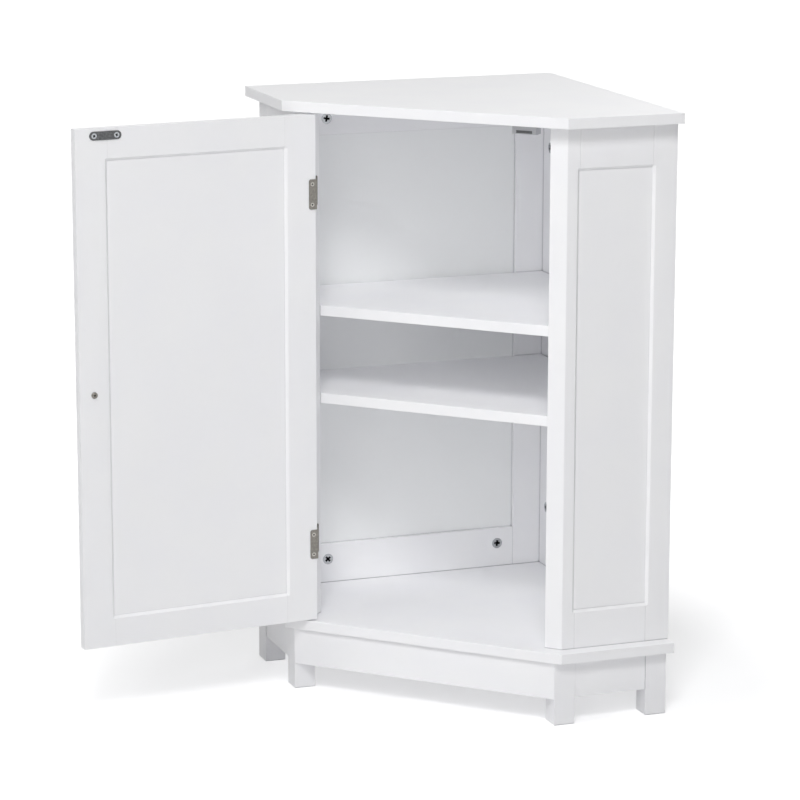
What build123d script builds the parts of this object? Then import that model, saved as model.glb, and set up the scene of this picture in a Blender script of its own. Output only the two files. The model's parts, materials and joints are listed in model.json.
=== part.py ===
from build123d import *
import math
import os

# Corner bathroom cabinet, in millimetres, Z up
# The origin is the corner of the room, on the floor. The front looks along -Y.
# What follows the walls is drawn in wall lengths, u along the left wall and v along the right
# wall, and is then turned into the cabinet's frame. Mirror images give the other side.

# Overall outline
cabinet_height = 800
wall_width = 445
side_width = 160.5
board_thickness = 14
board_overhang = 20
board_edge_round = 0.8
leg_height = 86

# Frames and panels
side_thickness = 17
back_thickness = 15
side_stile_flat = 30
post_flat = 14
side_top_rail_flat = 53
side_bottom_rail_flat = 48.5
bevel = 3.5
bevel_land = 0.5
bevel_corner_round = 2
panel_thickness = 6
groove_depth = 6
groove_clearance = 0.5
back_corner_stile = 56
back_outer_stile = 50
back_rail = 55.5
back_panel_thickness = 3
back_panel_recess = 6

# Shelves and their pins
shelf_thickness = 14
upper_shelf_top = 523.5
lower_shelf_top = 404.5
shelf_post_gap = 0.45
shelf_clearance = 1
shelf_edge_round = 0.8
pin_diameter = 5
pin_hole_depth = 8
pin_hole_edge = 9
pin_pad_length = 11
pin_pad_width = 9
pin_pad_thickness = 1.2

# Door, in its opening between the front posts
door_thickness = 14
door_stile_flat = 40
door_top_rail_flat = 39
door_bottom_rail_flat = 37
door_height_gap = 2.5
door_hinge_gap = 3
door_free_gap = 2
door_opening_angle = 129

# Hinges
barrel_radius = 2.6
pin_radius = 1.25
pin_running_clearance = 0.05
knuckle_gap = 0.4
leaf_thickness = 1.2
leaf_height = 39.6
leaf_corner_round = 2.5
barrel_clearance = 0.4
door_leaf_width = 10.8
cabinet_leaf_depth = 16
upper_hinge_height = 679
lower_hinge_height = 206.5
hinge_screw_pitch = 27
door_screw_edge = 6.3
cabinet_screw_edge = 9
hinge_screw_head = 5.2
hinge_screw_shank = 3
hinge_screw_length = 11

# Knob, strike plate and magnetic catch
knob_edge = 20
knob_height_above_floor = 440
knob_diameter = 27
knob_foot_diameter = 15
knob_neck_diameter = 11
knob_projection = 25
knob_waist_height = 7.5
knob_rim_height = 18
knob_screw_diameter = 4
knob_screw_head = 8
knob_screw_head_height = 2.2
knob_screw_grip = 9
knob_hole_clearance = 0.25
strike_length = 43
strike_width = 11
strike_thickness = 1.2
strike_edge = 19.5
strike_below_top = 4
strike_screw_pitch = 30.5
strike_screw_head = 7
strike_screw_shank = 3.4
strike_screw_length = 12
magnet_gap = 0.35
magnet_length = 22
magnet_height = 1.6
magnet_depth = 8
magnet_behind_plates = 1
pole_plate_thickness = 1
pole_plates_proud = 0.6
catch_length = 34
catch_depth = 16
catch_drop = 15
catch_corner_round = 1.5
catch_screw_pitch = 22
catch_screw_length = 20

# Legs and aprons
leg_size = 29
leg_wall_inset = 6
leg_side_inset = 12
leg_foot_chamfer = 1
apron_height = 50
apron_thickness = 14
apron_front_setback = 5.3
side_apron_setback = 1.5
leg_bolt_diameter = 6
leg_bolt_in_leg = 40
leg_bolt_in_board = 10

# Cam locks and dowels
cam_diameter = 15
cam_depth = 12.5
cam_sink = 0.2
cam_clearance = 0.1
rail_cam_edge = 33.5
stile_cam_edge = 24
cam_axis_depth = 7.5
rail_cam_from_opening = 24
corner_cam_inset = 86
bolt_shank = 7
bolt_neck = 4.5
bolt_hole = 8
bolt_thread = 5
bolt_thread_length = 10
bolt_head_reach = 3.5
dowel_diameter = 8
dowel_in_board = 10
dowel_in_frame = 18
side_dowel_spacing = 58
back_dowel_spacing = 135
apron_dowel_spacing = 30
front_dowel_spacing = 200

# Lengths that follow from the ones above
root2 = math.sqrt(2)
wall_turn = 225
floor_top = leg_height + board_thickness
ceiling = cabinet_height - board_thickness
body_heights = (floor_top, ceiling)
board_front = (wall_width + side_width) / root2
body_front = board_front - board_overhang
body_side = wall_width - board_overhang
side_inner = body_side - side_thickness
post_corner = body_front * root2 - body_side
reveal_x = (side_inner - (body_front * root2 - side_inner)) / root2
shelf_front = body_front - side_thickness * root2 - shelf_post_gap
panel_recess = bevel + bevel_land
hinge_edge_x = door_hinge_gap - reveal_x
free_edge_x = reveal_x - door_free_gap
pin_x = door_hinge_gap / 2 - reveal_x
pin_y = -body_front - barrel_radius
door_inner_y = door_thickness - body_front
door_heights = (floor_top + door_height_gap, ceiling - door_height_gap)
strike_x = free_edge_x - strike_edge - strike_length / 2
strike_z = door_heights[1] - strike_below_top - strike_width / 2
pole_front_y = door_inner_y + strike_thickness + magnet_gap
catch_front_y = pole_front_y + pole_plates_proud
apron_front = board_front - apron_front_setback
leg_outer = wall_width - leg_side_inset
pin_column = back_corner_stile - pin_hole_edge


# Helpers

def slab(x_ends, y_ends, z_ends):
    """Box given by its two ends along each axis."""
    size = [ends[1] - ends[0] for ends in (x_ends, y_ends, z_ends)]
    middle = [(ends[1] + ends[0]) / 2 for ends in (x_ends, y_ends, z_ends)]
    return Pos(*middle) * Box(*size)


def rod(radius, z_ends):
    """Upright cylinder between two heights."""
    return Pos(0, 0, (z_ends[0] + z_ends[1]) / 2) * Cylinder(radius, z_ends[1] - z_ends[0])


def in_room(shape):
    """Turn a piece drawn in wall lengths into the cabinet's frame."""
    return Rot(0, 0, wall_turn) * shape


def mirrored_in_room(shape):
    """The same piece with the two walls swapped."""
    return mirror(in_room(shape), about=Plane.YZ)


def both_sides(shape):
    return [in_room(shape), mirrored_in_room(shape)]


def swung(shape):
    """Turn a piece of the closed door about the hinge pins to the door's open position."""
    return Pos(pin_x, pin_y, 0) * Rot(0, 0, -door_opening_angle) * Pos(-pin_x, -pin_y, 0) * shape


def boxes_meet(one, other):
    a = one.bounding_box()
    b = other.bounding_box()
    apart = a.min.X > b.max.X or b.min.X > a.max.X
    apart = apart or a.min.Y > b.max.Y or b.min.Y > a.max.Y
    return not (apart or a.min.Z > b.max.Z or b.min.Z > a.max.Z)


def drilled(piece, tools):
    """Cut every tool that reaches the piece."""
    for tool in tools:
        if boxes_meet(piece, tool):
            piece = piece - tool
    return piece


def turned(outline):
    """Revolve a half outline, drawn as radius and height, about the Z axis."""
    return revolve(Plane.XZ * outline, axis=Axis.Z)


# Boards and shelves

def corner_slab(back, side, front, z_ends, edge_round):
    """Five-sided slab: two edges along the walls, two short sides and the front edge."""
    reach = front * root2 - side
    outline = Polygon((back, back), (side, back), (side, reach), (reach, side), (back, side), align=None)
    blank = Pos(0, 0, z_ends[0]) * extrude(outline, amount=z_ends[1] - z_ends[0], dir=(0, 0, 1))
    return in_room(fillet(blank.edges(), edge_round))


def shelf(top):
    return corner_slab(back_thickness + shelf_clearance, side_inner - shelf_clearance,
                       shelf_front, (top - shelf_thickness, top), shelf_edge_round)


# Frames with grooved panels

def bevel_cutter(x_open, z_open, face, way):
    """Tapered pocket that leaves a 45 degree bevel round an opening."""
    overshoot = 1
    slope = bevel_corner_round / bevel
    start_round = 0.3
    sections = []
    for grown in (0, bevel + overshoot):
        centre = ((x_open[0] + x_open[1]) / 2, face + way * (bevel - grown), (z_open[0] + z_open[1]) / 2)
        plane = Plane(origin=centre, x_dir=(1, 0, 0), z_dir=(0, -1, 0))
        width = x_open[1] - x_open[0] + 2 * grown
        height = z_open[1] - z_open[0] + 2 * grown
        sections.append(plane * RectangleRounded(width, height, start_round + slope * grown))
    return loft(sections, ruled=True)


def frame_pieces(x_ends, z_ends, x_open, z_open, y_faces, panel_faces, bevelled=(), post=None):
    """Two stiles, two rails tongued into them, and a panel held in grooves round the opening."""
    tongue_x = (x_open[0] - groove_depth, x_open[1] + groove_depth)
    channel_z = (z_open[0] - groove_depth, z_open[1] + groove_depth)
    stile_slot = slab(tongue_x, panel_faces, z_ends)
    rail_channel = slab(tongue_x, panel_faces, channel_z)
    cutters = [bevel_cutter(x_open, z_open, face, way) for face, way in bevelled]
    pieces = {
        "near_stile": slab((x_ends[0], x_open[0]), y_faces, z_ends) - stile_slot,
        "far_stile": (post or slab((x_open[1], x_ends[1]), y_faces, z_ends)) - stile_slot,
    }
    rails = {"bottom_rail": (z_ends[0], z_open[0]), "top_rail": (z_open[1], z_ends[1])}
    for name, rail_z in rails.items():
        body = slab(x_open, y_faces, rail_z) + slab(tongue_x, panel_faces, rail_z)
        pieces[name] = body - rail_channel
    for name in pieces:
        for cutter in cutters:
            pieces[name] = pieces[name] - cutter
    reach = groove_depth - groove_clearance
    pieces["panel"] = slab((x_open[0] - reach, x_open[1] + reach), panel_faces,
                           (z_open[0] - reach, z_open[1] + reach))
    return pieces


def post_blank(open_edge):
    """Front post: its face turned 45 degrees to the side, and a reveal for the door behind it."""
    inner = body_front * root2 - side_inner
    outline = Polygon((open_edge, body_side), (post_corner, body_side), (inner, side_inner),
                      (post_corner, side_inner - side_thickness), (post_corner - side_thickness, side_inner),
                      (open_edge, side_inner), align=None)
    return Pos(0, 0, floor_top) * extrude(outline, amount=ceiling - floor_top, dir=(0, 0, 1))


def side_frame():
    x_open = (side_stile_flat + bevel, post_corner - post_flat - bevel)
    z_open = (floor_top + side_bottom_rail_flat + bevel, ceiling - side_top_rail_flat - bevel)
    panel_outer = body_side - panel_recess
    return frame_pieces((0, post_corner), body_heights, x_open, z_open, (side_inner, body_side),
                        (panel_outer - panel_thickness, panel_outer), [(body_side, -1)],
                        post_blank(x_open[1]))


def back_frame(start):
    """Frame along a wall, from `start` to the side frame."""
    x_open = (back_corner_stile, side_inner - back_outer_stile)
    z_open = (floor_top + back_rail, ceiling - back_rail)
    panel_inner = back_thickness - back_panel_recess
    return frame_pieces((start, side_inner), body_heights, x_open, z_open, (0, back_thickness),
                        (panel_inner - back_panel_thickness, panel_inner))


def door_frame():
    """The closed door, in the cabinet's frame."""
    x_open = (hinge_edge_x + door_stile_flat + bevel, free_edge_x - door_stile_flat - bevel)
    z_open = (door_heights[0] + door_bottom_rail_flat + bevel, door_heights[1] - door_top_rail_flat - bevel)
    panel_faces = (panel_recess - body_front, panel_recess + panel_thickness - body_front)
    return frame_pieces((hinge_edge_x, free_edge_x), door_heights, x_open, z_open,
                        (-body_front, door_inner_y), panel_faces,
                        [(-body_front, 1), (door_inner_y, -1)])


# Fasteners

def countersunk_screw(head, shank, length):
    """Screw with its flat head at z = 0 and its point downwards."""
    slope = (head - shank) / 2
    outline = Polygon((0, 0), (head / 2, 0), (shank / 2, -slope), (shank / 2, shank / 2 - length),
                      (0, -length), align=None)
    return turned(outline)


def cam_lock():
    """Cam disc in its bore, with a channel for the head of the bolt that comes in along +X."""
    disc = rod(cam_diameter / 2 - cam_clearance, (-cam_depth, -cam_sink))
    channel = Rot(0, 90, 0) * rod(bolt_hole / 2, (-bolt_head_reach, cam_diameter))
    return disc - Pos(0, 0, -cam_axis_depth) * channel


def cam_bore():
    return rod(cam_diameter / 2, (-cam_depth, cam_sink))


def cam_bolt(edge):
    """Bolt from the cam to the far piece, whose face is `edge` away from the cam's middle."""
    outline = Polygon((0, -bolt_head_reach), (bolt_shank / 2, -bolt_head_reach), (bolt_shank / 2, -1),
                      (bolt_neck / 2, -1), (bolt_neck / 2, bolt_head_reach), (bolt_shank / 2, bolt_head_reach),
                      (bolt_shank / 2, edge), (bolt_thread / 2, edge),
                      (bolt_thread / 2, edge + bolt_thread_length), (0, edge + bolt_thread_length), align=None)
    return Pos(0, 0, -cam_axis_depth) * Rot(0, 90, 0) * turned(outline)


def bolt_bore(edge):
    bore = rod(bolt_hole / 2, (0, edge)) + rod(bolt_thread / 2, (0, edge + bolt_thread_length))
    return Pos(0, 0, -cam_axis_depth) * Rot(0, 90, 0) * bore


def cam_places(along, inner, out_way, stile_places=()):
    """Places of the cams on one frame: in both rails at `along`, and in a stile where given."""
    places = []
    for position in along:
        for height, way in ((floor_top + rail_cam_edge, -1), (ceiling - rail_cam_edge, 1)):
            place = Plane(origin=(position, inner, height), x_dir=(0, 0, way), z_dir=(0, out_way, 0))
            places.append((place.location, rail_cam_edge))
    for position, way in stile_places:
        for height in (floor_top + corner_cam_inset, ceiling - corner_cam_inset):
            place = Plane(origin=(position, inner, height), x_dir=(way, 0, 0), z_dir=(0, out_way, 0))
            places.append((place.location, stile_cam_edge))
    return places


def joined_by_cams(places, turn):
    """Cams, bolts and the bores for them, turned into the room."""
    cams = [turn(place * cam_lock()) for place, edge in places]
    bolts = [turn(place * cam_bolt(edge)) for place, edge in places]
    bores = [turn(place * cam_bore()) for place, edge in places]
    bores += [turn(place * bolt_bore(edge)) for place, edge in places]
    return cams, bolts, bores


def dowel(x, y, joint, way):
    """Dowel across a joint: the board lies on the side of the joint given by `way`."""
    ends = sorted((joint + way * dowel_in_board, joint - way * dowel_in_frame))
    return Pos(x, y, 0) * rod(dowel_diameter / 2, ends)


def frame_dowels(places):
    return [dowel(x, y, joint, way) for x, y in places for joint, way in ((floor_top, -1), (ceiling, 1))]


def spaced(middle, spacing):
    return (middle - spacing / 2, middle + spacing / 2)


# Hinges, drawn closed about the pin, with the door towards +X and the cabinet's inside towards +Y

def knuckle_ends(order):
    """Ends of the first, second or third knuckle, counted from below."""
    pitch = (leaf_height + knuckle_gap) / 3
    low = order * pitch - leaf_height / 2
    return (low, low + pitch - knuckle_gap)


def knuckle(order, bore):
    return rod(barrel_radius, knuckle_ends(order)) - rod(bore, knuckle_ends(order))


def leaf_web(x_ends, order):
    """Strip of the leaf that runs into one knuckle."""
    start = barrel_radius - leaf_thickness / 2 - knuckle_gap
    return slab(x_ends, (start, barrel_radius + barrel_clearance), knuckle_ends(order))


def hinge_leaf_heights():
    return (-leaf_height / 2, leaf_height / 2)


def door_leaf():
    """Leaf wrapped round the door's edge onto its inner face."""
    edge_x = (door_hinge_gap / 2 - leaf_thickness, door_hinge_gap / 2)
    inner = barrel_radius + door_thickness
    flange = slab((edge_x[0], edge_x[0] + door_leaf_width), (inner, inner + leaf_thickness),
                  hinge_leaf_heights())
    flange = fillet(flange.edges().filter_by(Axis.Y).group_by(Axis.X)[-1], leaf_corner_round)
    wrap = slab(edge_x, (barrel_radius + barrel_clearance, inner + leaf_thickness), hinge_leaf_heights())
    bore = pin_radius + pin_running_clearance
    web = leaf_web(edge_x, 1) - rod(bore, knuckle_ends(1))
    return flange + wrap + web + knuckle(1, bore)


def cabinet_leaf():
    """Flat leaf on the post's reveal."""
    leaf_x = (-door_hinge_gap / 2, leaf_thickness - door_hinge_gap / 2)
    plate = slab(leaf_x, (barrel_radius + barrel_clearance, barrel_radius + cabinet_leaf_depth),
                 hinge_leaf_heights())
    plate = fillet(plate.edges().filter_by(Axis.X).group_by(Axis.Y)[-1], leaf_corner_round)
    for order in (0, 2):
        web = leaf_web(leaf_x, order) - rod(pin_radius, knuckle_ends(order))
        plate = plate + web + knuckle(order, pin_radius)
    return plate


def hinge_pin():
    return rod(pin_radius, hinge_leaf_heights())


def door_leaf_screws():
    screw = countersunk_screw(hinge_screw_head, hinge_screw_shank, hinge_screw_length)
    x = door_hinge_gap / 2 - leaf_thickness + door_screw_edge
    y = barrel_radius + door_thickness + leaf_thickness
    return [Pos(x, y, z) * Rot(-90, 0, 0) * screw for z in spaced(0, hinge_screw_pitch)]


def cabinet_leaf_screws():
    screw = countersunk_screw(hinge_screw_head, hinge_screw_shank, hinge_screw_length)
    x = leaf_thickness - door_hinge_gap / 2
    y = barrel_radius + cabinet_screw_edge
    return [Pos(x, y, z) * Rot(0, 90, 0) * screw for z in spaced(0, hinge_screw_pitch)]


# Knob, strike plate and catch, drawn with the door closed

def knob_on_door():
    """Turned knob: a foot on the door, a waist and a domed crown."""
    foot_radius = knob_foot_diameter / 2
    rim = (knob_diameter / 2, knob_rim_height)
    foot = Line((0, 0), (foot_radius, 0))
    flank = Spline((foot_radius, 0), (knob_neck_diameter / 2, knob_waist_height), rim,
                   tangents=((-0.4, 1), (0.5, 1)))
    crown = TangentArc((0, knob_projection), rim, tangent=(1, 0))
    axis = Line((0, knob_projection), (0, 0))
    knob = turned(make_face([foot, flank, crown, axis]))
    return knob_place(-body_front, 1) * (knob - rod(knob_screw_diameter / 2, (0, knob_screw_grip)))


def knob_place(face, way):
    """Place on the closed door's outer or inner face, looking away from the door."""
    return Pos(free_edge_x - knob_edge, face, knob_height_above_floor) * Rot(way * 90, 0, 0)


def knob_screw_in_door():
    """Screw from the door's inner face into the knob."""
    head = rod(knob_screw_head / 2, (0, knob_screw_head_height))
    head = fillet(head.edges().group_by(Axis.Z)[-1], knob_screw_head_height / 2)
    shank = rod(knob_screw_diameter / 2, (-door_thickness - knob_screw_grip, 0))
    return knob_place(door_inner_y, -1) * (head + shank)


def knob_screw_hole():
    hole = rod(knob_screw_diameter / 2 + knob_hole_clearance, (-door_thickness, 0))
    return knob_place(door_inner_y, -1) * hole


def strike_screws_in_door():
    screw = countersunk_screw(strike_screw_head, strike_screw_shank, strike_screw_length)
    y = door_inner_y + strike_thickness
    return [Pos(x, y, strike_z) * Rot(-90, 0, 0) * screw for x in spaced(strike_x, strike_screw_pitch)]


def strike_on_door():
    """Plate with round ends on the door's inner face."""
    face = Plane(origin=(strike_x, door_inner_y, strike_z), x_dir=(1, 0, 0), z_dir=(0, 1, 0))
    return extrude(face * SlotOverall(strike_length, strike_width), amount=strike_thickness)


def magnet_block():
    """Magnet at the height of the strike plate, a little behind the edges of its pole plates."""
    front = pole_front_y + magnet_behind_plates
    return slab(spaced(strike_x, magnet_length), (front, pole_front_y + magnet_depth),
                spaced(strike_z, magnet_height))


def pole_plates():
    """The two steel plates above and below the magnet."""
    middle = (magnet_height + pole_plate_thickness) / 2
    y_ends = (pole_front_y, pole_front_y + magnet_depth)
    return [slab(spaced(strike_x, magnet_length), y_ends, spaced(strike_z + way * middle, pole_plate_thickness))
            for way in (-1, 1)]


def magnet_pocket():
    height = magnet_height + 2 * pole_plate_thickness
    return slab(spaced(strike_x, magnet_length), (catch_front_y - 1, pole_front_y + magnet_depth),
                spaced(strike_z, height))


def catch_screw_list():
    """Screws up through the catch into the top board."""
    screw = countersunk_screw(hinge_screw_head, hinge_screw_shank, catch_screw_length)
    y = catch_front_y + catch_depth - hinge_screw_head
    height = ceiling - catch_drop
    return [Pos(x, y, height) * Rot(180, 0, 0) * screw for x in spaced(strike_x, catch_screw_pitch)]


def catch_housing():
    """Moulded block under the top board, with a pocket for the magnet in its front."""
    block = slab(spaced(strike_x, catch_length), (catch_front_y, catch_front_y + catch_depth),
                 (ceiling - catch_drop, ceiling))
    return fillet(block.edges().filter_by(Axis.Z), catch_corner_round) - magnet_pocket()


# Legs, aprons and shelf pins

def leg(u, v):
    post = slab((u, u + leg_size), (v, v + leg_size), (0, leg_height))
    return chamfer(post.edges().group_by(Axis.Z)[0], leg_foot_chamfer)


def leg_bolt(u, v):
    middle = leg_size / 2
    return Pos(u + middle, v + middle, leg_height) * rod(leg_bolt_diameter / 2, (-leg_bolt_in_leg, leg_bolt_in_board))


def front_apron_blank():
    """Apron between the front legs, its ends cut at 45 degrees to lie on their sides."""
    half = (leg_outer - (apron_front * root2 - leg_outer)) / root2
    back = apron_thickness - apron_front
    outline = Polygon((-half, -apron_front), (half, -apron_front), (half - apron_thickness, back),
                      (apron_thickness - half, back), align=None)
    return Pos(0, 0, leg_height - apron_height) * extrude(outline, amount=apron_height, dir=(0, 0, 1))


def shelf_pin(along, shelf_bottom):
    """Peg in a back stile with a flat pad under the shelf."""
    radius = pin_diameter / 2
    place = Pos(along, back_thickness, shelf_bottom)
    peg = Pos(0, 0, -radius) * Rot(-90, 0, 0) * rod(radius, (-pin_hole_depth, pin_pad_length))
    pad = slab(spaced(0, pin_pad_width), (shelf_clearance, pin_pad_length), (-pin_pad_thickness, 0))
    return place * (peg + pad)


def pin_hole(along, height):
    hole = Rot(-90, 0, 0) * rod(pin_diameter / 2, (-pin_hole_depth, 1))
    return Pos(along, back_thickness, height) * hole


# Cabinet body

pieces = {}
bores = []

pieces["top_board"] = corner_slab(0, wall_width, board_front, (ceiling, cabinet_height), board_edge_round)
pieces["bottom_board"] = corner_slab(0, wall_width, board_front, (leg_height, floor_top), board_edge_round)
pieces["upper_shelf"] = shelf(upper_shelf_top)
pieces["lower_shelf"] = shelf(lower_shelf_top)

side_names = {"near_stile": "rear_stile", "far_stile": "front_post"}
for name, shape in side_frame().items():
    for side, turn in (("right", in_room), ("left", mirrored_in_room)):
        pieces[f"{side}_side_{side_names.get(name, name)}"] = turn(shape)

back_names = {"near_stile": "corner_stile", "far_stile": "outer_stile"}
for side, turn, start in (("left", in_room, 0), ("right", mirrored_in_room, back_thickness)):
    for name, shape in back_frame(start).items():
        pieces[f"{side}_back_{back_names.get(name, name)}"] = turn(shape)

front_leg_u = apron_front * root2 - leg_outer - leg_size
leg_low = leg_outer - leg_size
leg_spots = {"rear_corner": (leg_wall_inset, leg_wall_inset)}
for side in ("left", "right"):
    front = (front_leg_u, leg_low)
    rear = (leg_wall_inset, leg_low)
    leg_spots[f"front_{side}"] = front if side == "right" else front[::-1]
    leg_spots[f"rear_{side}"] = rear if side == "right" else rear[::-1]
for name, spot in leg_spots.items():
    pieces[f"leg_{name}"] = in_room(leg(*spot))
leg_bolts = [in_room(leg_bolt(*spot)) for spot in leg_spots.values()]
bores += leg_bolts

side_apron_v = (leg_outer - side_apron_setback - apron_thickness, leg_outer - side_apron_setback)
side_apron = slab((leg_wall_inset + leg_size, front_leg_u), side_apron_v, (leg_height - apron_height, leg_height))
pieces["right_apron"], pieces["left_apron"] = both_sides(side_apron)
pieces["front_apron"] = front_apron_blank()

# Joints of the body: cams, bolts and dowels

side_rail_middle = (side_stile_flat + post_corner - post_flat) / 2
back_rail_spots = (back_corner_stile + rail_cam_from_opening, side_inner - back_outer_stile - rail_cam_from_opening)
side_places = cam_places((side_rail_middle,), side_inner, -1)
outer_cam = (side_inner - stile_cam_edge, 1)
corner_cam = (back_thickness + stile_cam_edge, -1)
left_back_places = cam_places(back_rail_spots, back_thickness, 1, (outer_cam,))
right_back_places = cam_places(back_rail_spots, back_thickness, 1, (outer_cam, corner_cam))
cams = []
cam_bolts = []
cam_groups = ((side_places, in_room), (side_places, mirrored_in_room),
              (left_back_places, in_room), (right_back_places, mirrored_in_room))
for places, turn in cam_groups:
    new_cams, new_bolts, new_bores = joined_by_cams(places, turn)
    cams += new_cams
    cam_bolts += new_bolts
    bores += new_bores

side_dowel_v = side_inner + side_thickness / 2
side_spots = [(u, side_dowel_v) for u in spaced(side_rail_middle, side_dowel_spacing)]
side_spots.append((post_corner, side_inner))
back_middle = (back_rail_spots[0] + back_rail_spots[1]) / 2
back_spots = [(u, back_thickness / 2) for u in spaced(back_middle, back_dowel_spacing)]
dowels = []
for peg in frame_dowels(side_spots) + frame_dowels(back_spots):
    dowels += both_sides(peg)
apron_middle_v = (side_apron_v[0] + side_apron_v[1]) / 2
for u in spaced(side_rail_middle, apron_dowel_spacing):
    dowels += both_sides(dowel(u, apron_middle_v, leg_height, 1))
for x in spaced(0, front_dowel_spacing):
    dowels.append(dowel(x, apron_thickness / 2 - apron_front, leg_height, 1))
bores += dowels

# Shelf pins in the back stiles

outer_column = side_inner - back_outer_stile + pin_hole_edge
shelf_pins = []
for along in (pin_column, outer_column):
    for top in (upper_shelf_top, lower_shelf_top):
        shelf_pins += both_sides(shelf_pin(along, top - shelf_thickness))
        bores += both_sides(pin_hole(along, top - shelf_thickness - pin_diameter / 2))

# Magnetic catch under the top board

catch_screws = catch_screw_list()
bores += catch_screws
pieces["catch_magnet"] = magnet_block()
pieces["catch_housing"] = catch_housing()

# Hinges: the leaves on the post stay, the leaves on the door swing with it

hinge_heights = {"upper": upper_hinge_height, "lower": lower_hinge_height}
door_pieces = {}
door_bores = []
door_hinge_screws = []
cabinet_hinge_screws = []
for name, height in hinge_heights.items():
    place = Pos(pin_x, pin_y, height)
    post_screws = [place * screw for screw in cabinet_leaf_screws()]
    leaf_screws = [place * screw for screw in door_leaf_screws()]
    pieces[f"{name}_hinge_cabinet_leaf"] = drilled(place * cabinet_leaf(), post_screws)
    pieces[f"{name}_hinge_pin"] = place * hinge_pin()
    door_pieces[f"{name}_hinge_door_leaf"] = drilled(place * door_leaf(), leaf_screws)
    cabinet_hinge_screws += post_screws
    door_hinge_screws += leaf_screws
bores += cabinet_hinge_screws
door_bores += door_hinge_screws

# Door

door_names = {"near_stile": "hinge_stile", "far_stile": "free_stile"}
for name, shape in door_frame().items():
    door_pieces[f"door_{door_names.get(name, name)}"] = shape
strike_screws = strike_screws_in_door()
door_bores += strike_screws
door_bores.append(knob_screw_hole())
door_pieces["strike_plate"] = strike_on_door()
for name in door_pieces:
    if "leaf" not in name:
        door_pieces[name] = drilled(door_pieces[name], door_bores)
door_pieces["door_knob"] = knob_on_door()
door_pieces["knob_screw"] = knob_screw_in_door()

# Drill the wooden pieces and the catch, and put the groups of fasteners together

undrilled = ("hinge", "magnet")
for name in pieces:
    if not any(word in name for word in undrilled):
        pieces[name] = drilled(pieces[name], bores)
for name, shape in door_pieces.items():
    pieces[name] = swung(shape)

groups = {
    "shelf_pins": shelf_pins,
    "cam_locks": cams,
    "cam_bolts": cam_bolts,
    "dowels": dowels,
    "leg_bolts": leg_bolts,
    "catch_pole_plates": pole_plates(),
    "catch_screws": catch_screws,
    "cabinet_hinge_screws": cabinet_hinge_screws,
    "door_hinge_screws": [swung(screw) for screw in door_hinge_screws],
    "strike_plate_screws": [swung(screw) for screw in strike_screws],
}


# Write every piece to its own file

def save(name, solids):
    shape = solids[0] if len(solids) == 1 else Compound(solids)
    export_step(shape, f"parts/{name}.step")


os.makedirs("parts", exist_ok=True)
for name, shape in pieces.items():
    save(name, shape.solids())
for name, members in groups.items():
    save(name, [solid for member in members for solid in member.solids()])
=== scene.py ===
import json
import math
import random

import bmesh
import bpy
from mathutils import Matrix, Vector


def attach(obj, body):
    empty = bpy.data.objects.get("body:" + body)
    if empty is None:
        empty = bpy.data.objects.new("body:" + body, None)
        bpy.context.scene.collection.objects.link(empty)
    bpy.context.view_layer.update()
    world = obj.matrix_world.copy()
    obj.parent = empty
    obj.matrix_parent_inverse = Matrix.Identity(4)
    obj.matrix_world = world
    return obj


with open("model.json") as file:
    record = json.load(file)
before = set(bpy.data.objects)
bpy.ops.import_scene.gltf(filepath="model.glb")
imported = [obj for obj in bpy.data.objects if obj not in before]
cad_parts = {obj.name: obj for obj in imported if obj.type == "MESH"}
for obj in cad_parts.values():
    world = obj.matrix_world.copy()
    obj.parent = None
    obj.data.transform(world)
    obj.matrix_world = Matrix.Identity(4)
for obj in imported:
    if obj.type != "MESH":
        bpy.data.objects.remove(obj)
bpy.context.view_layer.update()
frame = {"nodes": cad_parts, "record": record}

MM = 0.001
nodes = frame["nodes"]

# The camera, fitted to the photograph's board corners and panel edges
CAMERA_PLACE_MM = (1746.3, -4252.7, 1363.3)
CAMERA_TURN_LEFT_DEG = 24.923
CAMERA_TILT_DOWN_DEG = 12.650
CAMERA_ROLL_DEG = 0.097
CAMERA_LENS_MM = 148.95
CAMERA_SENSOR_MM = 36.0
CAMERA_CLIP_M = 50

# The door's angle in the photograph, and where the frames' inner faces lie from the two walls
DOOR_OPEN_DEG = 129
BACK_M = 0.015
SIDE_INNER_M = 0.408
ROOT2 = math.sqrt(2)

# Floor: its half width, how far from the cabinet it turns plain white, and how much it is lifted near it
FLOOR_COLOUR = "#F0F0F1"
FLOOR_ROUGHNESS = 0.9
FLOOR_HALF_M = 30.0
FLOOR_MIDDLE_M = (0.0, -0.3, 0.0)
FLOOR_SHADOW_M = 0.40
FLOOR_WHITE_M = 1.0
FLOOR_LIFT = 0.42

# How often light may bounce between the white boards; Blender's own 4 leaves the inside too dark
DIFFUSE_BOUNCES = 12

# World, and lamps: turn right of the front and rise in degrees, distance and size in metres, power
WORLD_COLOUR = "#F2F3F5"
WORLD_STRENGTH = 0.10
LAMP_AIM_M = (0.0, -0.3, 0.4)
LAMPS = {
    "key": {"turn": 22, "rise": 46, "distance": 4.2, "size": (1.2, 1.0), "power": 64},
    "middle": {"turn": 12, "rise": 29, "distance": 4.2, "size": (2.0, 1.2), "power": 20},
    "low": {"turn": 15, "rise": 14, "distance": 4.2, "size": (1.8, 1.2), "power": 14},
    "left": {"turn": -42, "rise": 36, "distance": 4.2, "size": (1.6, 1.2), "power": 27},
    "top": {"turn": 10, "rise": 85, "distance": 3.6, "size": (2.0, 2.0), "power": 18},
    "back": {"turn": 180, "rise": 32, "distance": 4.2, "size": (2.4, 1.6), "power": 26},
}

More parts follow.
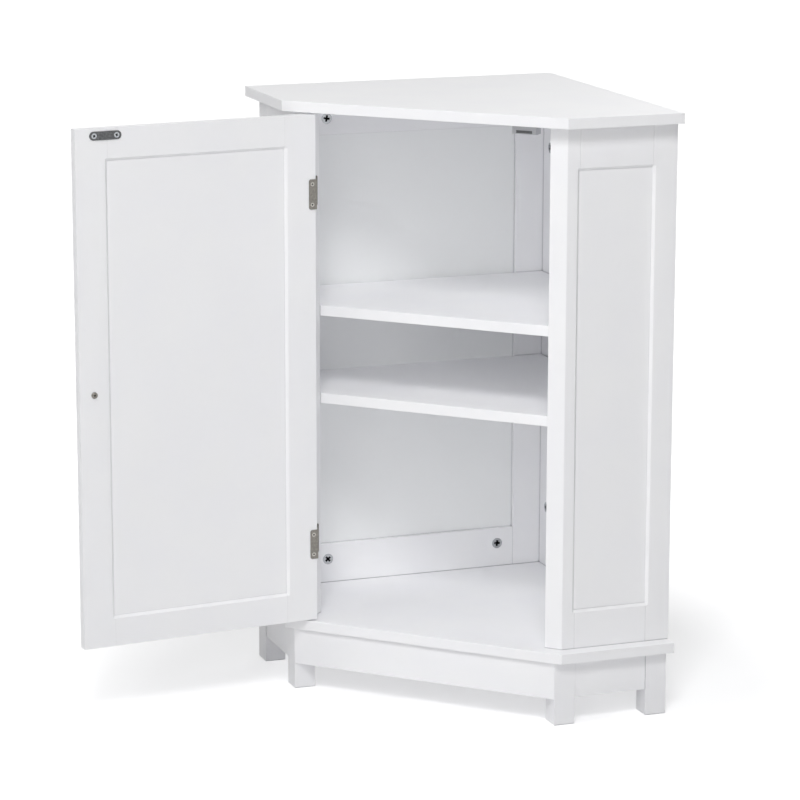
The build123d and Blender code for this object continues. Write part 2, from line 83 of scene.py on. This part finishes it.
# How far the edges of pieces are broken, and which edges; boards and shelves are rounded in the CAD
ROUNDED_IN_CAD = ("top_board", "bottom_board", "upper_shelf", "lower_shelf")
BACK_EDGE_MM = 0.7
SIDE_EDGE_MM = 0.5
DOOR_EDGE_MM = 0.2
CAM_EDGE_MM = 0.8
EDGE_SEGMENTS = 2
EDGE_FROM_DEG = 40
EDGE_LONGER_THAN_MM = 16
SHARP_FROM_DEG = 12
WELD_MM = 0.002

# Grain of paint, with clouding, uneven sheen and orange peel, and of metal
PAINT_CLOUD_MM = 60
PAINT_SHEEN_MM = 25
PAINT_PEEL_MM = 0.9
PAINT_IOR = 1.48
METAL_SPOT_MM = 2.0
METAL_GRAIN_MM = 0.5

# Painted shade in the joints and inner corners of painted pieces: how far it reaches, and how closed in a
# place must be
JOINT_REACH_MM = 3.0
JOINT_OPEN_FROM = 0.40
JOINT_OPEN_TO = 0.72
JOINT_SAMPLES = 6
JOINT_SHADE_COLOUR = "#B6B6B9"

# Cross recesses, as parts of the head's diameter
CROSS_REACH = 0.62
CROSS_WIDTH = 0.21
CROSS_DEPTH = 0.18
CROSS_TAPER = 0.6
CROSS_ABOVE_MM = 0.3
CROSS_SEED = 7


# Colours and nodes

def linear(code):
    """Linear colour with alpha from an sRGB hex code."""
    parts = [int(code[i:i + 2], 16) / 255 for i in (1, 3, 5)]
    return [c / 12.92 if c <= 0.04045 else ((c + 0.055) / 1.055) ** 2.4 for c in parts] + [1.0]


def add_node(tree, kind, values=None, **settings):
    """Add a node, set its properties and unlinked inputs."""
    node = tree.nodes.new(kind)
    for name, value in settings.items():
        setattr(node, name, value)
    for name, value in (values or {}).items():
        node.inputs[name].default_value = value
    return node


def new_material(name):
    material = bpy.data.materials.new(name)
    material.use_nodes = True
    tree = material.node_tree
    tree.nodes.clear()
    shader = add_node(tree, "ShaderNodeBsdfPrincipled")
    output = add_node(tree, "ShaderNodeOutputMaterial")
    tree.links.new(shader.outputs["BSDF"], output.inputs["Surface"])
    return material, tree, shader


def object_noise(tree, size_mm, detail, stretch=(1, 1, 1)):
    """Noise with a grain about size_mm wide, on the coordinates of the piece."""
    where = add_node(tree, "ShaderNodeTexCoord")
    scale = [s / (size_mm * MM) for s in stretch]
    mapping = add_node(tree, "ShaderNodeMapping", {"Scale": scale})
    noise = add_node(tree, "ShaderNodeTexNoise", {"Scale": 1.0, "Detail": detail, "Roughness": 0.5})
    tree.links.new(where.outputs["Object"], mapping.inputs["Vector"])
    tree.links.new(mapping.outputs["Vector"], noise.inputs["Vector"])
    return noise.outputs["Fac"]


def ramp_between(tree, factor, low, high, start=0.35, end=0.65):
    """Colour that runs from low to high as the factor rises."""
    ramp = add_node(tree, "ShaderNodeValToRGB")
    first, last = ramp.color_ramp.elements
    first.position, last.position = start, end
    first.color, last.color = low, high
    tree.links.new(factor, ramp.inputs["Fac"])
    return ramp.outputs["Color"]


def bump_from(tree, shader, height, strength, distance_mm):
    """Small relief from a height between 0 and 1."""
    bump = add_node(tree, "ShaderNodeBump", {"Strength": strength, "Distance": distance_mm * MM})
    tree.links.new(height, bump.inputs["Height"])
    tree.links.new(bump.outputs["Normal"], shader.inputs["Normal"])


def value_range(tree, factor, low, high):
    """Value that runs from low to high over the middle of a noise."""
    remap = add_node(tree, "ShaderNodeMapRange",
                     {"From Min": 0.3, "From Max": 0.7, "To Min": low, "To Max": high})
    tree.links.new(factor, remap.inputs["Value"])
    return remap.outputs["Result"]


def colour_sockets(sockets):
    """The colour sockets of a mix node, which has others of the same names."""
    return [socket for socket in sockets if socket.type == "RGBA"]


def painted_joint_shade(tree, colour):
    """The colour, darkened with painted shade in narrow joints, inner corners and under boards, wherever the
    ambient occlusion finds them closed in.
    """
    near = add_node(tree, "ShaderNodeAmbientOcclusion", {"Distance": JOINT_REACH_MM * MM},
                    samples=JOINT_SAMPLES)
    clear = add_node(tree, "ShaderNodeMapRange", {"From Min": JOINT_OPEN_FROM, "From Max": JOINT_OPEN_TO})
    mixed = add_node(tree, "ShaderNodeMix", data_type="RGBA")
    joint_shade, paint = colour_sockets(mixed.inputs)
    joint_shade.default_value = linear(JOINT_SHADE_COLOUR)
    tree.links.new(near.outputs["AO"], clear.inputs["Value"])
    tree.links.new(clear.outputs["Result"], mixed.inputs[0])
    tree.links.new(colour, paint)
    return colour_sockets(mixed.outputs)[0]


# Materials

def satin_paint(name, code_light, code_dark, roughness):
    """Sprayed satin paint: faint clouding, uneven sheen and fine orange peel, with painted shade darkening
    its joints and inner corners.
    """
    material, tree, shader = new_material(name)
    clouds = object_noise(tree, PAINT_CLOUD_MM, 3)
    colour = ramp_between(tree, clouds, linear(code_dark), linear(code_light))
    # painted shade from the ambient occlusion darkens the paint's colour in joints and inner corners
    tree.links.new(painted_joint_shade(tree, colour), shader.inputs["Base Color"])
    sheen = object_noise(tree, PAINT_SHEEN_MM, 4)
    tree.links.new(value_range(tree, sheen, roughness - 0.03, roughness + 0.04), shader.inputs["Roughness"])
    bump_from(tree, shader, object_noise(tree, PAINT_PEEL_MM, 2), 0.25, 0.04)
    shader.inputs["IOR"].default_value = PAINT_IOR
    return material


def plated_metal(name, code_light, code_dark, roughness):
    """Plated steel or zinc with fine wear in its shine."""
    material, tree, shader = new_material(name)
    spots = object_noise(tree, METAL_SPOT_MM, 4)
    colour = ramp_between(tree, spots, linear(code_dark), linear(code_light))
    tree.links.new(colour, shader.inputs["Base Color"])
    tree.links.new(value_range(tree, spots, roughness, roughness + 0.12), shader.inputs["Roughness"])
    bump_from(tree, shader, object_noise(tree, METAL_GRAIN_MM, 2), 0.15, 0.02)
    shader.inputs["Metallic"].default_value = 1.0
    return material


def moulded_plastic(name, code):
    """Plain plastic with a fine grain."""
    material, tree, shader = new_material(name)
    grain = object_noise(tree, 0.6, 2)
    shader.inputs["Base Color"].default_value = linear(code)
    shader.inputs["Roughness"].default_value = 0.5
    bump_from(tree, shader, grain, 0.3, 0.05)
    return material


def beech_wood(name, code_light, code_dark):
    """Bare beech with upright fibres."""
    material, tree, shader = new_material(name)
    fibres = object_noise(tree, 1.2, 5, (1, 1, 0.08))
    colour = ramp_between(tree, fibres, linear(code_dark), linear(code_light))
    tree.links.new(colour, shader.inputs["Base Color"])
    shader.inputs["Roughness"].default_value = 0.6
    bump_from(tree, shader, fibres, 0.4, 0.1)
    return material


materials = {
    "painted_mdf": satin_paint("white_satin_paint_on_mdf", "#FAFAFB", "#F8F8FA", 0.42),
    "painted_panel": satin_paint("white_satin_paint_on_thin_panel", "#F9FAFA", "#F7F8F8", 0.45),
    "nickel": plated_metal("satin_nickel_plated_steel", "#85827C", "#706D68", 0.30),
    "dark_steel": plated_metal("dark_zinc_plated_steel", "#646566", "#4E4F50", 0.34),
    "catch_plastic": moulded_plastic("white_moulded_plastic", "#BEBFC2"),
    "cam_zinc": plated_metal("grey_die_cast_zinc", "#C6C8CB", "#AEB0B3", 0.38),
    "zinc_steel": plated_metal("bright_zinc_plated_steel", "#B4B7BA", "#9DA1A5", 0.25),
    "beech": beech_wood("plain_beech", "#D8B484", "#B98F5E"),
}

hinge_screw_finish = plated_metal("bright_nickel_plated_screws", "#BDBAB4", "#A19E98", 0.22)
# Near-black metal that paints the shade inside the cross recesses; the screws' own steel is lighter
painted_recess_shade = plated_metal("painted_shade_in_cross_recesses", "#1F1F20", "#151516", 0.5)

for entry in frame["record"]["subparts"]:
    name = entry["node"]
    finish = hinge_screw_finish if name.endswith("hinge_screws") else materials[entry["material_slot"]]
    nodes[name].data.materials.clear()
    nodes[name].data.materials.append(finish)


# Broken edges and shading

def weld(piece):
    """Join the corners that the surfaces of one solid share."""
    joined = piece.modifiers.new("joined_corners", "WELD")
    joined.merge_threshold = WELD_MM * MM


def new_node_group(name, values):
    """Group that takes and gives a mesh, with one number socket for each of the values."""
    group = bpy.data.node_groups.new(name, "GeometryNodeTree")
    group.interface.new_socket("Geometry", in_out="INPUT", socket_type="NodeSocketGeometry")
    for socket_name, value in values.items():
        socket = group.interface.new_socket(socket_name, in_out="INPUT", socket_type="NodeSocketFloat")
        socket.default_value = value
    group.interface.new_socket("Geometry", in_out="OUTPUT", socket_type="NodeSocketGeometry")
    return group, add_node(group, "NodeGroupInput"), add_node(group, "NodeGroupOutput")


def make_edge_group():
    """Marks the long sharp edges of a piece for the bevel, and leaves out the rims of its bores."""
    group, given, result = new_node_group(
        "mark_long_edges",
        {"Longer than": EDGE_LONGER_THAN_MM * MM, "Sharper than": math.radians(EDGE_FROM_DEG)})
    ends = add_node(group, "GeometryNodeInputMeshEdgeVertices")
    length = add_node(group, "ShaderNodeVectorMath", operation="DISTANCE")
    angle = add_node(group, "GeometryNodeInputMeshEdgeAngle")
    is_long, is_sharp = (add_node(group, "FunctionNodeCompare", data_type="FLOAT", operation="GREATER_THAN")
                         for _ in range(2))
    both = add_node(group, "FunctionNodeBooleanMath", operation="AND")
    mark = add_node(group, "GeometryNodeStoreNamedAttribute", {"Name": "bevel_weight_edge"},
                    data_type="FLOAT", domain="EDGE")
    group.links.new(ends.outputs["Position 1"], length.inputs[0])
    group.links.new(ends.outputs["Position 2"], length.inputs[1])
    group.links.new(length.outputs["Value"], is_long.inputs[0])
    group.links.new(given.outputs["Longer than"], is_long.inputs[1])
    group.links.new(angle.outputs["Unsigned Angle"], is_sharp.inputs[0])
    group.links.new(given.outputs["Sharper than"], is_sharp.inputs[1])
    group.links.new(is_long.outputs["Result"], both.inputs[0])
    group.links.new(is_sharp.outputs["Result"], both.inputs[1])
    group.links.new(both.outputs["Boolean"], mark.inputs["Value"])
    group.links.new(given.outputs["Geometry"], mark.inputs["Geometry"])
    group.links.new(mark.outputs["Geometry"], result.inputs["Geometry"])
    return group


def break_edges(piece, width_mm, limit):
    """Small bevel on the edges marked by weight, or on all that are sharp by angle."""
    bevel = piece.modifiers.new("broken_edges", "BEVEL")
    bevel.width = width_mm * MM
    bevel.segments = EDGE_SEGMENTS
    bevel.limit_method = limit
    bevel.angle_limit = math.radians(EDGE_FROM_DEG)
    bevel.use_clamp_overlap = limit == "ANGLE"


def make_shading_group():
    """Smooth faces with sharp edges wherever two faces meet at more than a given angle."""
    group, given, result = new_node_group("shade_by_angle", {"Sharp from": math.radians(SHARP_FROM_DEG)})
    plain = add_node(group, "GeometryNodeRemoveAttribute", {"Name": "custom_normal"})
    smooth = add_node(group, "GeometryNodeSetShadeSmooth", domain="FACE")
    angle = add_node(group, "GeometryNodeInputMeshEdgeAngle")
    gentle = add_node(group, "FunctionNodeCompare", data_type="FLOAT", operation="LESS_THAN")
    edges = add_node(group, "GeometryNodeSetShadeSmooth", domain="EDGE")
    group.links.new(given.outputs["Geometry"], plain.inputs["Geometry"])
    group.links.new(plain.outputs["Geometry"], smooth.inputs["Geometry"])
    group.links.new(smooth.outputs["Geometry"], edges.inputs["Geometry"])
    group.links.new(angle.outputs["Unsigned Angle"], gentle.inputs[0])
    group.links.new(given.outputs["Sharp from"], gentle.inputs[1])
    group.links.new(gentle.outputs["Result"], edges.inputs["Shade Smooth"])
    group.links.new(edges.outputs["Geometry"], result.inputs["Geometry"])
    return group


def run_nodes(piece, group):
    piece.modifiers.new(group.name, "NODES").node_group = group


# Cross recesses in the heads of screws and cams, with painted shade inside them

def separate_solids(piece):
    """The points of each separate solid of a node."""
    shell = bmesh.new()
    shell.from_mesh(piece.data)
    bmesh.ops.remove_doubles(shell, verts=shell.verts, dist=WELD_MM * MM)
    shell.verts.index_update()
    seen = set()
    solids = []
    for start in shell.verts:
        if start.index in seen:
            continue
        seen.add(start.index)
        points = []
        waiting = [start]
        while waiting:
            vert = waiting.pop()
            points.append(vert.co.copy())
            for edge in vert.link_edges:
                other = edge.other_vert(vert)
                if other.index not in seen:
                    seen.add(other.index)
                    waiting.append(other)
        solids.append(points)
    shell.free()
    return solids


def mean(points):
    return sum(points, Vector()) / len(points)


def cross_corners(reach, width):
    """Corners of a flat cross, anticlockwise."""
    arm, half = reach / 2, width / 2
    corners = []
    for quarter in range(4):
        turn = Matrix.Rotation(math.radians(90 * quarter), 2)
        corners += [turn @ Vector(corner) for corner in ((arm, -half), (arm, half), (half, half))]
    return corners


def cross_cutter(name, heads, body):
    """Hidden piece with one tapered cross for each head, given as its centre, outward way and diameter."""
    draw = random.Random(CROSS_SEED)
    verts, faces = [], []
    for centre, out, diameter in heads:
        side = out.orthogonal().normalized()
        side.rotate(Matrix.Rotation(draw.uniform(0, math.pi / 2), 3, out))
        across = out.cross(side)
        first = len(verts)
        corners = cross_corners(diameter * CROSS_REACH, diameter * CROSS_WIDTH)
        for taper, lift in ((CROSS_TAPER, -diameter * CROSS_DEPTH), (1.0, CROSS_ABOVE_MM * MM)):
            middle = centre + out * lift
            verts += [middle + (side * corner.x + across * corner.y) * taper for corner in corners]
        count = len(corners)
        bottom = list(range(first, first + count))
        top = list(range(first + count, first + 2 * count))
        faces += [tuple(reversed(bottom)), tuple(top)]
        for k in range(count):
            after = (k + 1) % count
            faces.append((bottom[k], bottom[after], top[after], top[k]))
    mesh = bpy.data.meshes.new(name)
    mesh.from_pydata(verts, [], faces)
    mesh.materials.append(painted_recess_shade)
    cutter = bpy.data.objects.new(name, mesh)
    bpy.context.scene.collection.objects.link(cutter)
    cutter.hide_render = True
    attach(cutter, body)
    return cutter


def head_of(points, out):
    """Centre, outward way and diameter of a fastener's head."""
    highest = max(point.dot(out) for point in points)
    rim = [point for point in points if point.dot(out) > highest - WELD_MM * MM]
    centre = mean(rim)
    return centre, out, 2 * max((point - centre).length for point in rim)


def cut_crosses(node_name, body, way):
    """Sink a cross into each head of a node; way gives the outward direction for a solid's middle."""
    piece = nodes[node_name]
    heads = [head_of(points, way(mean(points))) for points in separate_solids(piece)]
    cut = piece.modifiers.new("cross_recess", "BOOLEAN")
    cut.operation = "DIFFERENCE"
    cut.solver = "EXACT"
    # the faces cut by the crosses take the cutter's near-black painted shade
    cut.material_mode = "TRANSFER"
    cut.object = cross_cutter(node_name + "_crosses", heads, body)


def to_door_inside(middle):
    """Out of the inner face of the open door."""
    turn = math.radians(DOOR_OPEN_DEG)
    return Vector((math.sin(turn), math.cos(turn), 0))


def to_right(middle):
    """Out of the left post's hinge face."""
    return Vector((1, 0, 0))


def down(middle):
    """Out of the catch's underside."""
    return Vector((0, 0, -1))


def out_of_frame(middle):
    """Into the cabinet, square to the wall or side that the cam lies in."""
    along_right = (middle.x - middle.y) / ROOT2
    along_left = -(middle.x + middle.y) / ROOT2
    if along_right < BACK_M or along_right > SIDE_INNER_M:
        way = Vector((1, -1, 0)).normalized()
        return way if along_right < BACK_M else -way
    way = Vector((-1, -1, 0)).normalized()
    return way if along_left < BACK_M else -way


# Light, floor and camera

def area_lamp(name, place, aim, size, power):
    light = bpy.data.lights.new(name, "AREA")
    light.shape = "RECTANGLE"
    light.size, light.size_y = size
    light.energy = power
    lamp = bpy.data.objects.new(name, light)
    lamp.location = place
    lamp.rotation_euler = (Vector(aim) - Vector(place)).to_track_quat("-Z", "Y").to_euler()
    bpy.context.scene.collection.objects.link(lamp)


def seen_or_mirrored(tree):
    """1 for rays from the camera, reflections and clear pieces, and 0 for those that light the object."""
    path = add_node(tree, "ShaderNodeLightPath")
    seen = add_node(tree, "ShaderNodeMath", operation="MAXIMUM")
    seen_all = add_node(tree, "ShaderNodeMath", operation="MAXIMUM")
    tree.links.new(path.outputs["Is Camera Ray"], seen.inputs[0])
    tree.links.new(path.outputs["Is Glossy Ray"], seen.inputs[1])
    tree.links.new(seen.outputs[0], seen_all.inputs[0])
    tree.links.new(path.outputs["Is Transmission Ray"], seen_all.inputs[1])
    return seen_all.outputs[0]


def make_world():
    """Soft light from all round that shows as plain white."""
    world = bpy.data.worlds.new("soft_room")
    bpy.context.scene.world = world
    world.use_nodes = True
    tree = world.node_tree
    tree.nodes.clear()
    soft = add_node(tree, "ShaderNodeBackground", {"Color": linear(WORLD_COLOUR), "Strength": WORLD_STRENGTH})
    white = add_node(tree, "ShaderNodeBackground", {"Color": [1, 1, 1, 1], "Strength": 1.0})
    mix = add_node(tree, "ShaderNodeMixShader")
    output = add_node(tree, "ShaderNodeOutputWorld")
    tree.links.new(seen_or_mirrored(tree), mix.inputs[0])
    tree.links.new(soft.outputs[0], mix.inputs[1])
    tree.links.new(white.outputs[0], mix.inputs[2])
    tree.links.new(mix.outputs[0], output.inputs["Surface"])


def make_floor():
    """Pale floor that shows plain white away from the cabinet and keeps its shadow near it."""
    mesh = bpy.data.meshes.new("floor")
    half = FLOOR_HALF_M
    corners = [(-half, -half, 0), (half, -half, 0), (half, half, 0), (-half, half, 0)]
    mesh.from_pydata(corners, [], [(0, 1, 2, 3)])
    floor = bpy.data.objects.new("floor", mesh)
    bpy.context.scene.collection.objects.link(floor)
    material, tree, shader = new_material("pale_floor")
    shader.inputs["Base Color"].default_value = linear(FLOOR_COLOUR)
    shader.inputs["Roughness"].default_value = FLOOR_ROUGHNESS
    output = next(node for node in tree.nodes if node.bl_idname == "ShaderNodeOutputMaterial")
    where = add_node(tree, "ShaderNodeTexCoord")
    away = add_node(tree, "ShaderNodeVectorMath", {1: FLOOR_MIDDLE_M}, operation="DISTANCE")
    tree.links.new(where.outputs["Object"], away.inputs[0])
    lift = add_node(tree, "ShaderNodeMapRange", {"From Min": FLOOR_SHADOW_M, "From Max": FLOOR_WHITE_M,
                                                 "To Min": FLOOR_LIFT, "To Max": 1.0})
    tree.links.new(away.outputs["Value"], lift.inputs["Value"])
    strength = add_node(tree, "ShaderNodeMath", operation="MULTIPLY")
    tree.links.new(lift.outputs["Result"], strength.inputs[0])
    tree.links.new(seen_or_mirrored(tree), strength.inputs[1])
    glow = add_node(tree, "ShaderNodeEmission", {"Color": [1, 1, 1, 1]})
    tree.links.new(strength.outputs[0], glow.inputs["Strength"])
    both = add_node(tree, "ShaderNodeAddShader")
    tree.links.new(shader.outputs["BSDF"], both.inputs[0])
    tree.links.new(glow.outputs["Emission"], both.inputs[1])
    tree.links.new(both.outputs["Shader"], output.inputs["Surface"])
    mesh.materials.append(material)


def make_camera():
    """The camera at the photograph's place and angle."""
    turn = math.radians(CAMERA_TURN_LEFT_DEG)
    tilt = math.radians(CAMERA_TILT_DOWN_DEG)
    ahead = Vector((-math.sin(turn) * math.cos(tilt), math.cos(turn) * math.cos(tilt), -math.sin(tilt)))
    right = ahead.cross(Vector((0, 0, 1))).normalized()
    roll = Matrix.Rotation(math.radians(CAMERA_ROLL_DEG), 3, -ahead)
    right = roll @ right
    up = right.cross(ahead)
    data = bpy.data.cameras.new("camera")
    data.sensor_width = CAMERA_SENSOR_MM
    data.lens = CAMERA_LENS_MM
    data.clip_end = CAMERA_CLIP_M
    camera = bpy.data.objects.new("camera", data)
    basis = Matrix((right, up, -ahead)).transposed().to_4x4()
    basis.translation = Vector(CAMERA_PLACE_MM) * MM
    camera.matrix_world = basis
    bpy.context.scene.collection.objects.link(camera)
    bpy.context.scene.camera = camera


# The scene

make_world()
make_floor()
make_camera()
bpy.context.scene.view_settings.view_transform = "Standard"
bpy.context.scene.cycles.diffuse_bounces = DIFFUSE_BOUNCES

for lamp_name, lamp in LAMPS.items():
    turn, rise = math.radians(lamp["turn"]), math.radians(lamp["rise"])
    away = Vector((math.sin(turn) * math.cos(rise), -math.cos(turn) * math.cos(rise), math.sin(rise)))
    place = Vector(LAMP_AIM_M) + away * lamp["distance"]
    area_lamp(f"{lamp_name}_lamp", place, LAMP_AIM_M, lamp["size"], lamp["power"])

shading = make_shading_group()
long_edges = make_edge_group()
for entry in frame["record"]["subparts"]:
    name = entry["node"]
    if entry["material_slot"] not in ("painted_mdf", "painted_panel") or name in ROUNDED_IN_CAD:
        continue
    if name.startswith("door"):
        edge_mm = DOOR_EDGE_MM
    elif "_back_" in name:
        edge_mm = BACK_EDGE_MM
    else:
        edge_mm = SIDE_EDGE_MM
    weld(nodes[name])
    run_nodes(nodes[name], long_edges)
    break_edges(nodes[name], edge_mm, "WEIGHT")
    run_nodes(nodes[name], shading)

weld(nodes["cam_locks"])
break_edges(nodes["cam_locks"], CAM_EDGE_MM, "ANGLE")
for name, body, way in (
        ("door_hinge_screws", "door", to_door_inside), ("strike_plate_screws", "door", to_door_inside),
        ("knob_screw", "door", to_door_inside), ("cabinet_hinge_screws", "cabinet", to_right),
        ("catch_screws", "cabinet", down)):
    weld(nodes[name])
    cut_crosses(name, body, way)
    run_nodes(nodes[name], shading)
cut_crosses("cam_locks", "cabinet", out_of_frame)
run_nodes(nodes["cam_locks"], shading)
